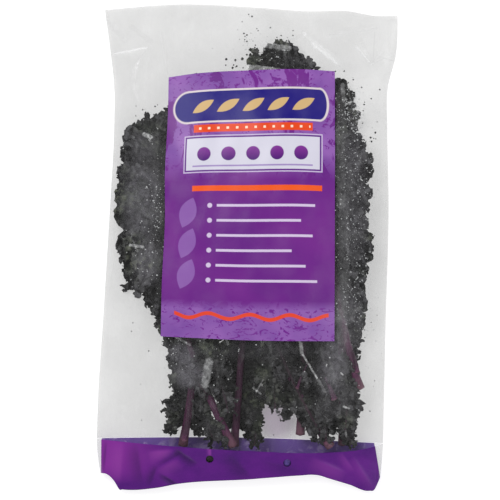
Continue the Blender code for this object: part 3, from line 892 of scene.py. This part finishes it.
def makeBlade(leaf, number, look, name, nodes, size=1.0):
    # A fan of side veins from the midrib (r 0) out to the margin (r 1): foot + vein * reach * r. Sets of
    # sine folds ride on each other, each along the normals of the one before, and grow towards the margin by
    # powers of r. Last, tanh holds the leaf in its own slab of the bag. Size scales the numbers of folds and
    # faces.
    bare, end = leaf[5], ribEnd(leaf)
    quarters = round(blade["folds"] * size)
    columns, rows = round(blade["columns"] * size), round(blade["rows"] * size**0.7)
    draw = np.random.default_rng(number)
    coarse = np.arange(-quarters, quarters + 1)
    crests = draw.uniform(0.7, 1.0, len(coarse))
    notches = draw.uniform(*blade["notches"], len(coarse))
    teeth = draw.uniform(0.96, 1.03, len(coarse))
    step = np.linspace(-quarters, quarters, columns)
    side = np.sign(step)
    near = np.clip(step / 2, -1, 1)
    q = 1 - np.abs(step) / quarters
    for height, count, shift in blade["crowding"]:
        q = q + 4 * height * q * (1 - q) * np.sin(2 * math.pi * count * q + shift * number + near)
    wave = np.sin(math.pi / 2 * step) * np.interp(step, coarse, crests)
    lobes = 0
    for height, count, shift in blade["lobes"]:
        lobes = lobes + height * np.sin(2 * math.pi * count * q + shift * number + near)
    reach = leaf[4] * through(blade["form"], q) * (1 + lobes) * np.interp(step, coarse, teeth)
    reach = reach * (1 - np.interp(step, coarse, notches) * (1 - np.abs(wave)))
    for which, at, place, spread, share in blade["wider"]:
        if which == number:
            reach = reach * (1 + share * np.exp(-(((q - place) / spread) ** 2)) * (side == at))
    foot, ahead = spine(leaf, bare + (end - bare) * (1 - (1 - q) ** 1.3))
    right = np.stack([ahead[:, 1], -ahead[:, 0]], axis=1)
    angle = np.radians(blade["baseAngle"]) * (1 - q ** blade["veinPower"])
    vein = ahead * np.cos(angle)[:, None] + right * (side * np.sin(angle))[:, None]

    r = 1 - (1 - np.linspace(0, 1, rows)[:, None]) ** 1.3
    rim = foot + vein * reach[:, None]
    along = np.concatenate([[0], np.cumsum(np.linalg.norm(np.diff(rim, axis=0), axis=1))])[None, :]
    out = r * reach
    jag = 0
    for kind, seed in (("lobe", 70), ("tooth", 80)):
        depth, length = blade[kind]
        wander = 2.2 * ripples(along, 0 * along, 4 * length, seed + number)
        jag = jag + depth * (1 - np.abs(np.sin(math.pi * along / length + wander)))
    depth, length = blade["fringe"]
    jag = jag + depth * ripples(along, 0 * along, length, 90 + number)
    plan = foot + vein * out[..., None]
    plan = np.stack(softSides(plan[..., 0], plan[..., 1]), axis=-1)
    plan = plan - vein * (jag * r**4)[..., None]
    x, y = plan[..., 0], plan[..., 1]
    level, space = levelOf(leaf, x, y)
    points = np.stack([x, y, level + space * blade["ruffle"] * r**1.5 * wave], axis=-1)

    drift = ripples(along, out * 2, 0.06, 20 + number)
    height, length = blade["curl"]
    strength = 0.75 + 0.25 * ripples(along, out, 0.05, 30 + number)
    wander = 3.0 * drift + 2.4 * ripples(along, out, 0.018, 35 + number)
    curl = np.sin(2 * math.pi * along / length + wander)
    points = points + normalsOf(points) * (height * r**1.4 * strength * curl)[..., None]
    height, length = blade["frill"]
    wander = 3.0 * drift + 2.4 * ripples(along, out, 0.009, 40 + number)
    frill = np.sin(2 * math.pi * along / length + wander)
    points = points + normalsOf(points) * (height * r**1.6 * frill)[..., None]
    bumps = 0
    for kind, seed in (("blister", 50), ("crinkle", 60)):
        height, length = blade[kind]
        bumps = bumps + height * ripples(points[..., 0], points[..., 1], length, seed + number)
    points = points + normalsOf(points) * (np.minimum(1, r * 6) * bumps)[..., None]

    x, y = softSides(points[..., 0], points[..., 1], 0.965)
    level, space = levelOf(leaf, x, y)
    layer, half = layers[leaf[0]], blade["slab"] * (1 + blade["fluff"] * r**2)
    over = np.maximum((np.minimum(layer + half, blade["ceiling"]) - layer) * space, 1e-6)
    under = np.maximum((layer - np.maximum(layer - half, 1 - blade["ceiling"])) * space, 1e-6)
    lift = points[..., 2] - level
    slab = np.where(lift > 0, over, under)
    z = level + slab * np.tanh(lift / slab)
    points = np.stack([x, y, z], axis=-1)
    points[0] = points[0, ::-1] * 0.5 + points[0] * 0.5  # both halves share the midrib
    marks = {
        "reach": np.broadcast_to(r, x.shape),
        "fold": np.tanh(lift / slab) * 0.45 + (0.35 * curl + 0.35 * frill) * r + bumps * 260,
        "base": np.broadcast_to(q[None, :], x.shape),
        "shade": patched(x, y, hollows),
        "olive": patched(x, y, olives),
    }
    faces = gridFaces(rows, columns)[:, ::-1]
    return newPiece(name, points, faces, look, nodes, marks, 0.00001)


# Lines that the bag presses the leaves' margins along: pixels down and across the photograph, downwards
pressed = {
    -1: [
        (136, 90), (141, 120.5), (155, 116.5), (165, 115), (180, 113), (187, 116), (194, 112), (202, 113),
        (204.5, 117.5), (210, 112), (218, 112.5), (226, 117), (230, 124), (236, 116), (245, 113.5),
        (257, 115), (270, 119), (283, 125), (290, 90),
    ],
    1: [
        (76, 400), (80, 352), (96, 359), (101, 355), (106, 360), (118, 363.5), (122, 359), (131, 361),
        (139, 367), (148, 372), (156, 374.5), (166, 375.5), (177, 374.5), (182, 372), (184, 368.5),
        (187, 373.5), (200, 373.5), (202.5, 370), (206, 375.5), (220, 376.5), (240, 375), (260, 374.5),
        (263, 367), (270, 371.5), (282, 368), (300, 368), (312, 370), (332, 366), (342, 400),
    ],
}


def softSides(x, y, start=0.93):
    # Keeps a leaf off the side folds and inside the pressed lines: past the start of its limit the offset
    # from the middle eases off by tanh
    left, right = edgesAt(y)
    middle, limit = (left + right) / 2, blade["sideLimit"] * (right - left) / 2
    down = photo["size"] / 2 - y / photo["pixel"]
    for side, line in pressed.items():
        downs, acrosses = np.array(line).T
        lineX, _ = fromPhoto(np.interp(down, downs, acrosses), 0, insideLevel)
        limit = np.where((x - middle) * side > 0, np.minimum(limit, (lineX - middle) * side), limit)
    u = np.abs(x - middle) / limit
    u = np.where(u > start, start + (1 - start) * np.tanh((u - start) / (1 - start)), u)
    return middle + np.sign(x - middle) * u * limit, y


def stemLook():
    # Purple in long streaks, darker where it runs on as a midrib and paler at the cut
    look = Look("kale stem")
    along = look.mark("along")
    streak = look.noise(0.006, 3, 0.6, 0.2, stretch=(3.0, 0.25, 3.0)).step(0.35, 0.7)
    look.base = look.mix(streak, rgb(56, 18, 48), rgb(90, 36, 76))
    look.coat(along.step(0.06, 0.30) * 0.75, rgb(42, 28, 40))
    cut = 1 - along.step(0.0, 0.05)
    look.coat(cut * 0.6, rgb(118, 84, 92))
    specks = look.noise(0.0016, 2, 0.6).step(0.5, 0.8)
    look.coat(specks * 0.35, rgb(122, 78, 104))
    look.set(Base_Color=look.base, Roughness=0.42 + streak * 0.15)
    look.set(Specular_IOR_Level=0.25)
    look.bump(streak + specks * 0.4, 0.0004, 0.6)
    return look


def makeStem(leaf, number, look, name, nodes, size=1.0):
    # A ribbed tube along the midrib: a ring of a little uneven radius carried along the path, domed at both
    # ends
    end = ribEnd(leaf)
    share = np.linspace(0, end, round(stem["rings"] * min(size, 1)))
    plan, _ = spine(leaf, share)
    radius = through(stem["radii"], share / end) * size
    level, _ = levelOf(leaf, plan[:, 0], plan[:, 1])
    eased = np.clip(share / (stem["easedBy"] * leaf[5]), 0, 1) ** 2
    face = 1 if leaf[0] == "back" or number in stem["raised"] else -1
    centre = np.column_stack([plan, level + face * eased * (radius + stem["ribGap"])])
    ahead = np.gradient(centre, axis=0)
    ahead /= np.linalg.norm(ahead, axis=1, keepdims=True)
    sideways = np.cross(ahead, (0, 0, 1))
    sideways /= np.linalg.norm(sideways, axis=1, keepdims=True)
    upwards = np.cross(sideways, ahead)
    turn = np.linspace(0, 2 * math.pi, stem["sides"], endpoint=False)
    uneven = ripples(share[:, None] * 3, np.sin(turn)[None, :], 0.4, number)
    uneven = stem["ribs"] * np.cos(5 * turn) + stem["ribs"] * uneven
    ring = radius[:, None] * (1 + uneven)
    tube = centre[:, None] + sideways[:, None] * (ring * np.cos(turn))[..., None]
    tube = tube + upwards[:, None] * (ring * np.sin(turn))[..., None]
    caps = []
    for rows, way in ((0, -1), (-1, 1)):
        for size in stem["domeRings"]:
            middle = centre[rows] + way * ahead[rows] * radius[rows] * stem["dome"] * (1 - size)
            caps.append(middle + (tube[rows] - centre[rows]) * size)
    points = np.concatenate([caps[2:3], caps[1:2], caps[0:1], tube, caps[3:]])
    distance = np.concatenate([[0, 0, 0], share, [end] * 3])
    marks = {"along": np.broadcast_to(distance[:, None], points.shape[:2])}
    faces = gridFaces(len(points), stem["sides"], around=True)
    return newPiece(name, points, faces, look, nodes, marks, 0.00001)


# Drops of water on the inside of the front sheet: middle pixel, spread in pixels across and along, number
drops = {
    "patches": [
        ((351, 110), (8, 14), 240), ((354, 165), (13, 26), 200), ((352, 235), (13, 36), 200),
        ((352, 300), (14, 26), 150), ((156, 205), (6, 30), 120), ((146, 250), (13, 26), 50),
        ((170, 352), (10, 12), 40), ((215, 352), (36, 10), 40), ((270, 56), (22, 9), 70),
        ((248, 45), (12, 9), 26), ((370, 300), (7, 30), 40), ((300, 395), (50, 30), 40),
        ((185, 400), (18, 30), 24),
    ],
    "radius": (0.00022, 0.00074),
    "profile": [(1.0, 0.0), (0.75, -0.42), (0.35, -0.62), (0.0, -0.68)],  # radius and height of each ring
    "gap": 0.00015,
    "sideLimit": 0.94,
    "sides": 7,
}


def dropLook():
    # Clear and very smooth water, whose pale colour is a painted highlight
    look = Look("water drop")
    look.set(Base_Color=rgb(206, 208, 209), Roughness=0.06, Alpha=0.66)
    return look


def makeDrops():
    # Small domes that hang from the film: a unit dome of three rings, set at each drop's place and size
    draw = np.random.default_rng(11)
    places, sizes = [], []
    for middle, spread, count in drops["patches"]:
        places.append(np.array(middle) + draw.normal(0, 1, (count, 2)) * spread)
        small, large = drops["radius"]
        sizes.append(small + (large - small) * draw.random(count) ** 3)
    places, sizes = np.concatenate(places), np.concatenate(sizes)
    x, y = fromPhoto(places[:, 0], places[:, 1], insideLevel)
    inside = np.abs(acrossAt(x, y)) < drops["sideLimit"]
    x, y, sizes = x[inside], y[inside], sizes[inside]
    z, _ = frontSheet(x, y)
    turn = np.linspace(0, 2 * math.pi, drops["sides"], endpoint=False)
    rings = drops["profile"]
    dome = np.array([[(s * math.cos(a), s * math.sin(a), h) for a in turn] for s, h in rings])
    centre = np.stack([x, y, z - drops["gap"]], axis=-1)
    points = centre[:, None, None] + dome[None] * sizes[:, None, None, None]
    one = gridFaces(len(rings), drops["sides"], around=True)
    count = len(rings) * drops["sides"]
    faces = (one[None] + np.arange(len(x))[:, None, None] * count).reshape(-1, 4)
    return newPiece("water_drops", points, faces, dropLook(), [], None, 0.000002)


# Crumbs of leaf that stick to the film: middle pixel, spread in pixels across and along, number, size
crumbs = {
    "patches": [
        ((249, 38), (7, 11), 16, 0.0007), ((236, 64), (6, 4), 9, 0.001), ((262, 30), (14, 6), 6, 0.0005),
        ((290, 40), (9, 7), 8, 0.0006), ((330, 76), (12, 8), 9, 0.0006), ((362, 104), (7, 12), 12, 0.0006),
        ((373, 136), (3, 10), 6, 0.0007), ((352, 170), (14, 50), 12, 0.0005),
        ((368, 352), (8, 40), 10, 0.0005), ((152, 110), (8, 4), 6, 0.0007),
        ((150, 380), (14, 40), 8, 0.0005), ((290, 404), (18, 16), 9, 0.0006),
    ],
    "profile": [(0, 0.10), (0.6, 0.07), (1, 0), (1, -0.12), (0.6, -0.06), (0, -0.03)],
    "under": (0.0012, 0.0026),  # how far under the film the crumbs and the painted-shade flake lie
    "ventShade": ((209.6, 457.8), 0.0046),  # a dark flake right under the left vent hole: painted shade seen through the hole
    "lit_disc": ((287.2, 462.6), 0.0036, 0.0009),  # in the right vent hole, and how far under the film; its colour is painted light for the lit inside of the bag
    "sides": 9,
}


def makeCrumbs(look):
    # Crumbs scattered by a bell round each patch's middle, and one dark flake under the left vent as painted
    # shade
    draw = np.random.default_rng(23)
    places, sizes = [], []
    for middle, spread, count, size in crumbs["patches"]:
        places.append(np.array(middle) + draw.normal(0, 1, (count, 2)) * spread)
        sizes.append(size * draw.uniform(0.5, 1.6, count))
    ventShadePlace, ventShadeSize = crumbs["ventShade"]
    places, sizes = np.concatenate(places + [[ventShadePlace]]), np.append(np.concatenate(sizes), ventShadeSize)
    uneven = draw.uniform(0.65, 1.0, (len(places), 1, crumbs["sides"]))
    uneven[-1] = 1
    under = np.full(len(sizes), crumbs["under"][0])
    under[-1] = crumbs["under"][1]
    return makeFlakes("leaf_crumbs", places, sizes, uneven, under, look)


def makeFlakes(name, places, sizes, uneven, under, look):
    # Flat rounded flakes of uneven radius under the front sheet, bowed like a shallow dish
    x, y = fromPhoto(places[:, 0], places[:, 1], insideLevel)
    turn = np.linspace(0, 2 * math.pi, crumbs["sides"], endpoint=False)
    rings = np.array(crumbs["profile"])
    wide = rings[None, :, :1] * uneven * sizes[:, None, None]
    atX = x[:, None, None] + wide * np.cos(turn)
    atY = y[:, None, None] + wide * np.sin(turn)
    z, _ = frontSheet(atX, atY)
    z = z - under[:, None, None] + rings[None, :, 1:] * sizes[:, None, None]
    points = np.stack([atX, atY, z], axis=-1)
    one = gridFaces(len(rings), crumbs["sides"], around=True)[:, ::-1]
    faces = (one[None] + np.arange(len(x))[:, None, None] * (len(rings) * crumbs["sides"])).reshape(-1, 4)
    marks = {mark: np.ones(points.shape[:-1]) for mark in ("reach", "base")}  # as a blade's margin
    return newPiece(name, points, faces, look, [], marks, 0.000002)


def makeVentLitDisc():
    # A disc in the right vent hole whose colour is painted light, standing in for the lit inside of the bag
    # seen through it
    look = Look("vent lit_disc")
    blot = look.noise(0.003, 2, 0.6, 0.5).step(0.45, 0.6)
    # Painted light: bluish purple as of the lit inside of the bag, with paler blots
    look.set(Base_Color=look.mix(blot, rgb(50, 28, 98), rgb(74, 54, 128)), Roughness=0.35 + blot * 0.1)
    places, size, under = (np.array([v]) for v in crumbs["lit_disc"])
    uneven = np.ones((1, 1, crumbs["sides"]))
    return makeFlakes("vent_lit_disc", places, size, uneven, under, look)


def addFloor():
    look = Look("studio floor")
    look.set(Base_Color=(0.50, 0.50, 0.50, 1), Roughness=0.9)
    look.set(Emission_Color=(1, 1, 1, 1), Emission_Strength=0.66)  # like a light table, so shadows are faint
    look.set(Specular_IOR_Level=0.1)
    side = np.linspace(-2.5, 2.5, 3)
    x, y = np.meshgrid(side, side)
    mesh = bpy.data.meshes.new("floor")
    points = np.stack([x, y, 0 * x - 0.0004], axis=-1)  # just under the bag
    mesh.from_pydata(points.reshape(-1, 3), [], gridFaces(3, 3).tolist())
    mesh.materials.append(look.material)
    floor = bpy.data.objects.new("floor", mesh)
    bpy.context.scene.collection.objects.link(floor)


addCamera()
addLights()
addFloor()
print("camera, lights and floor placed")
bladeLook, ribLook = kaleLook(), stemLook()
for number, leaf in enumerate(leaves, 1):
    makeBlade(leaf, number, bladeLook, f"leaf_{number}_frilled_blade", [f"leaf_{number}_blade"])
    makeStem(leaf, number, ribLook, f"leaf_{number}_ribbed_stem", [f"leaf_{number}_stem"])
    print("leaf", number, "made")
for number, (layer, foot, tip, bow, halfWidth, size) in enumerate(leaflets, len(leaves) + 1):
    leaf = (layer, fromPhoto(*foot, insideLevel), fromPhoto(*tip, insideLevel), bow, halfWidth, 0.0)
    makeBlade(leaf, number, bladeLook, f"leaflet_{number - len(leaves)}", [], size)
for number, (foot, tip, bow, size) in enumerate(stalks, 1):
    leaf = ("top", fromPhoto(*foot, insideLevel), fromPhoto(*tip, insideLevel), bow, 0.0, 1.0)
    makeStem(leaf, number, ribLook, f"leaflet_stalk_{number}", [], size)
print("leaflets made")
makeClearFilm()
print("clear film made")
makePurpleEnd()
print("purple end made")
makePanel()
print("panel made")
makeDrops()
makeCrumbs(bladeLook)
makeVentLitDisc()
print("drops, crumbs and vent lit_disc made")
